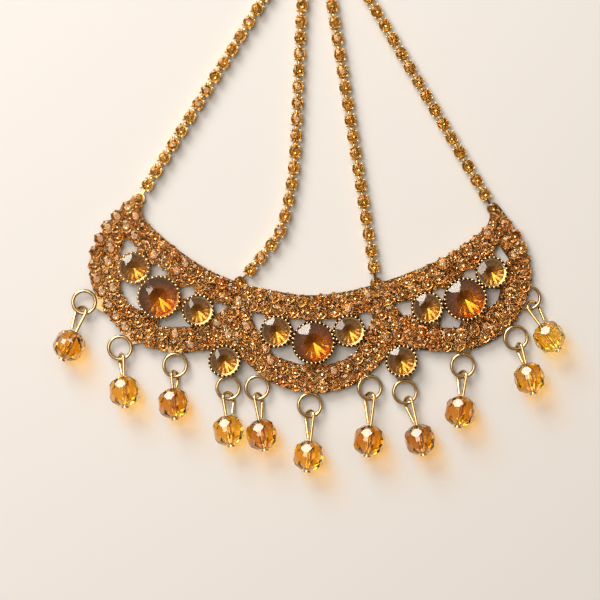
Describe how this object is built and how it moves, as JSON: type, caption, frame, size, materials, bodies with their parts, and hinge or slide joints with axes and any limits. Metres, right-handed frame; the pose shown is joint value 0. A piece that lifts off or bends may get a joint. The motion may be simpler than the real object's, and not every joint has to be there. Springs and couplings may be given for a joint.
{
  "type": "jhoomar hair jewel",
  "caption": "Side-worn hair jewel: a pierced, stone-set plate that hangs on stone-set chains from a wire hook, with faceted glass bead drops along its lower edge.",
  "frame": {"origin": "on the surface that the jewel lies on, under the middle of its plate", "axes": "+Z out of the face, +Y along the chains towards the hair hook, +X to the viewer's right"},
  "size_m": [0.0969, 0.1234, 0.006],
  "materials": {
    "gold": "polished gold-tone plating, warm, with brown shade in its recesses",
    "amber_stone": "deep amber cut glass",
    "pale_stone": "pale champagne cut glass",
    "amber_glass": "faceted amber glass",
    "topaz_chaton": "small rose-topaz cut stones"
  },
  "bodies": {
    "root": {"frame": "gold", "collector": "gold", "hair_hook": "gold", "stone_1": "amber_stone", "stone_2": "amber_stone", "stone_3": "amber_stone", "stone_4": "pale_stone", "stone_5": "pale_stone", "stone_6": "pale_stone", "stone_7": "pale_stone", "stone_8": "pale_stone", "stone_9": "pale_stone", "stone_10": "pale_stone", "stone_11": "pale_stone", "bead_1": "amber_glass", "bead_2": "amber_glass", "bead_3": "amber_glass", "bead_4": "amber_glass", "bead_5": "amber_glass", "bead_6": "amber_glass", "bead_7": "amber_glass", "bead_8": "amber_glass", "bead_9": "amber_glass", "bead_10": "amber_glass", "bead_11": "amber_glass", "pin_1": "gold", "pin_2": "gold", "pin_3": "gold", "pin_4": "gold", "pin_5": "gold", "pin_6": "gold", "pin_7": "gold", "pin_8": "gold", "pin_9": "gold", "pin_10": "gold", "pin_11": "gold", "chain_1": "gold", "chain_2": "gold", "chain_3": "gold", "chain_4": "gold", "chain_stones_1": "topaz_chaton", "chain_stones_2": "topaz_chaton", "chain_stones_3": "topaz_chaton", "chain_stones_4": "topaz_chaton"}
  },
  "joints": []
}
